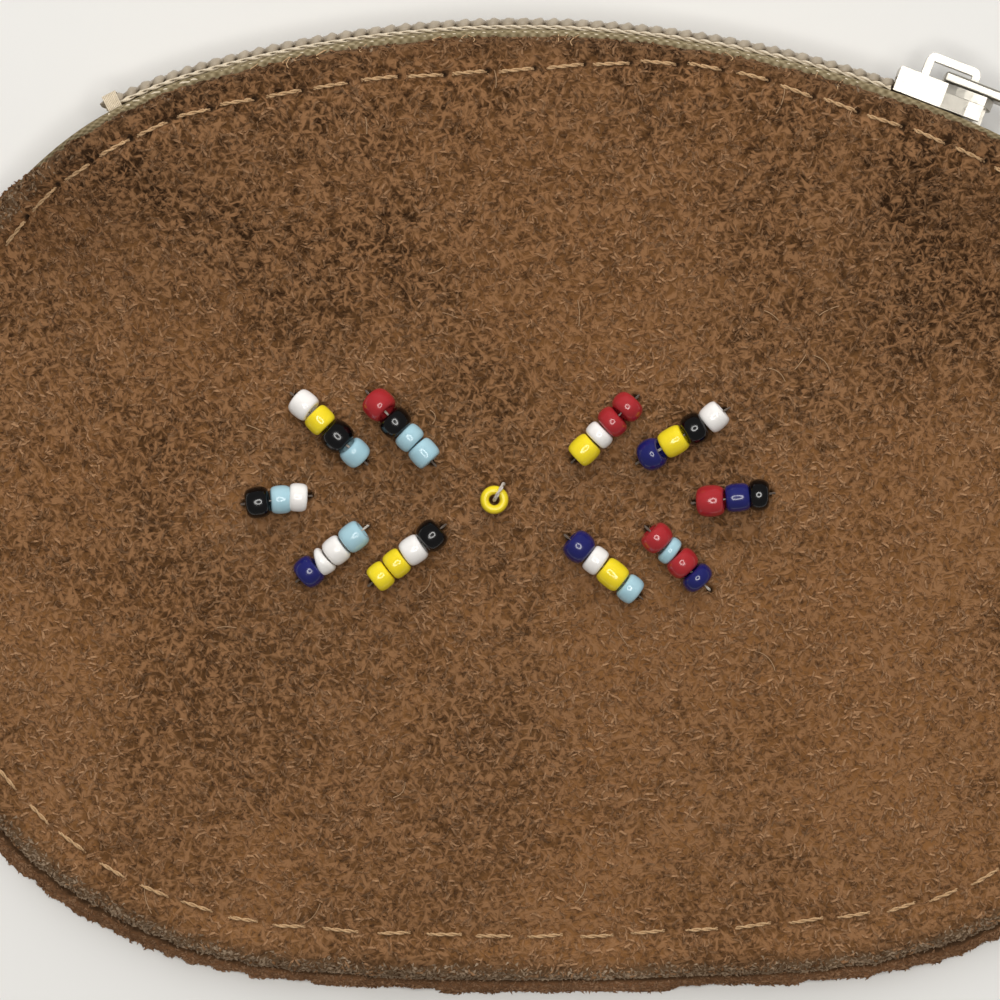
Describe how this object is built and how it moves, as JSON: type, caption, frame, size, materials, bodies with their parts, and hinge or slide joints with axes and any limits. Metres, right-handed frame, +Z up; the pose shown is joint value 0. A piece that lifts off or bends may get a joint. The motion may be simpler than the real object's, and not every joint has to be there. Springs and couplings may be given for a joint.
{
  "type": "beaded coin purse",
  "caption": "Flat suede coin purse with a coil zip round its domed top and a burst of short seed-bead strands on the front. The slider runs round the dome and its pull swings.",
  "frame": {"origin": "on the back panel's outer face, which it rests on, halfway across and halfway up the purse", "axes": "the purse lies on its back: +X to the right, +Y towards the zip, +Z up out of the beaded front"},
  "size_m": [0.1179, 0.082, 0.011],
  "materials": {
    "suede": "brushed nap, matte",
    "zip_tape": "woven",
    "zip_coil": "satin nylon",
    "zip_metal": "satin plated",
    "bead_thread": "waxed thread",
    "bead_white": "glossy opaque",
    "bead_yellow": "glossy opaque",
    "bead_black": "glossy opaque",
    "bead_sky": "glossy opaque",
    "bead_navy": "glossy opaque",
    "bead_red": "glossy opaque"
  },
  "bodies": {
    "purse": {"back_panel": "suede", "back_zip_coil": "zip_coil", "back_zip_tape": "zip_tape", "bead_centre_yellow": "bead_yellow", "bead_left_1_black": "bead_black", "bead_left_2_sky": "bead_sky", "bead_left_3_white": "bead_white", "bead_lower_left_inner_1_yellow": "bead_yellow", "bead_lower_left_inner_2_yellow": "bead_yellow", "bead_lower_left_inner_3_white": "bead_white", "bead_lower_left_inner_4_black": "bead_black", "bead_lower_left_outer_1_navy": "bead_navy", "bead_lower_left_outer_2_white": "bead_white", "bead_lower_left_outer_3_white": "bead_white", "bead_lower_left_outer_4_sky": "bead_sky", "bead_lower_right_inner_1_navy": "bead_navy", "bead_lower_right_inner_2_white": "bead_white", "bead_lower_right_inner_3_yellow": "bead_yellow", "bead_lower_right_inner_4_sky": "bead_sky", "bead_lower_right_outer_1_red": "bead_red", "bead_lower_right_outer_2_sky": "bead_sky", "bead_lower_right_outer_3_red": "bead_red", "bead_lower_right_outer_4_navy": "bead_navy", "bead_right_1_red": "bead_red", "bead_right_2_navy": "bead_navy", "bead_right_3_black": "bead_black", "bead_upper_left_inner_1_red": "bead_red", "bead_upper_left_inner_2_black": "bead_black", "bead_upper_left_inner_3_sky": "bead_sky", "bead_upper_left_inner_4_sky": "bead_sky", "bead_upper_left_outer_1_white": "bead_white", "bead_upper_left_outer_2_yellow": "bead_yellow", "bead_upper_left_outer_3_black": "bead_black", "bead_upper_left_outer_4_sky": "bead_sky", "bead_upper_right_inner_1_red": "bead_red", "bead_upper_right_inner_2_red": "bead_red", "bead_upper_right_inner_3_white": "bead_white", "bead_upper_right_inner_4_yellow": "bead_yellow", "bead_upper_right_outer_1_white": "bead_white", "bead_upper_right_outer_2_black": "bead_black", "bead_upper_right_outer_3_yellow": "bead_yellow", "bead_upper_right_outer_4_navy": "bead_navy", "front_panel": "suede", "front_zip_coil": "zip_coil", "front_zip_tape": "zip_tape", "thread_centre": "bead_thread", "thread_left": "bead_thread", "thread_lower_left_inner": "bead_thread", "thread_lower_left_outer": "bead_thread", "thread_lower_right_inner": "bead_thread", "thread_lower_right_outer": "bead_thread", "thread_right": "bead_thread", "thread_upper_left_inner": "bead_thread", "thread_upper_left_outer": "bead_thread", "thread_upper_right_inner": "bead_thread", "thread_upper_right_outer": "bead_thread"},
    "slider": {"zip_slider": "zip_metal"},
    "pull": {"zip_pull": "zip_metal"}
  },
  "joints": [
    {"name": "zip_run", "type": "hinge", "parent": "purse", "child": "slider", "pos_m": [-0.0032, -0.057, 0.0055], "axis": [0, 0, 1], "range_deg": [0, 35], "deforming": ["front_zip_coil", "back_zip_coil", "front_zip_tape", "back_zip_tape"]},
    {"name": "pull_swing", "type": "hinge", "parent": "slider", "child": "pull", "pos_m": [0.03293, 0.03598, 0.0055], "axis": [0, 0, 1], "range_deg": [0, 180]}
  ]
}
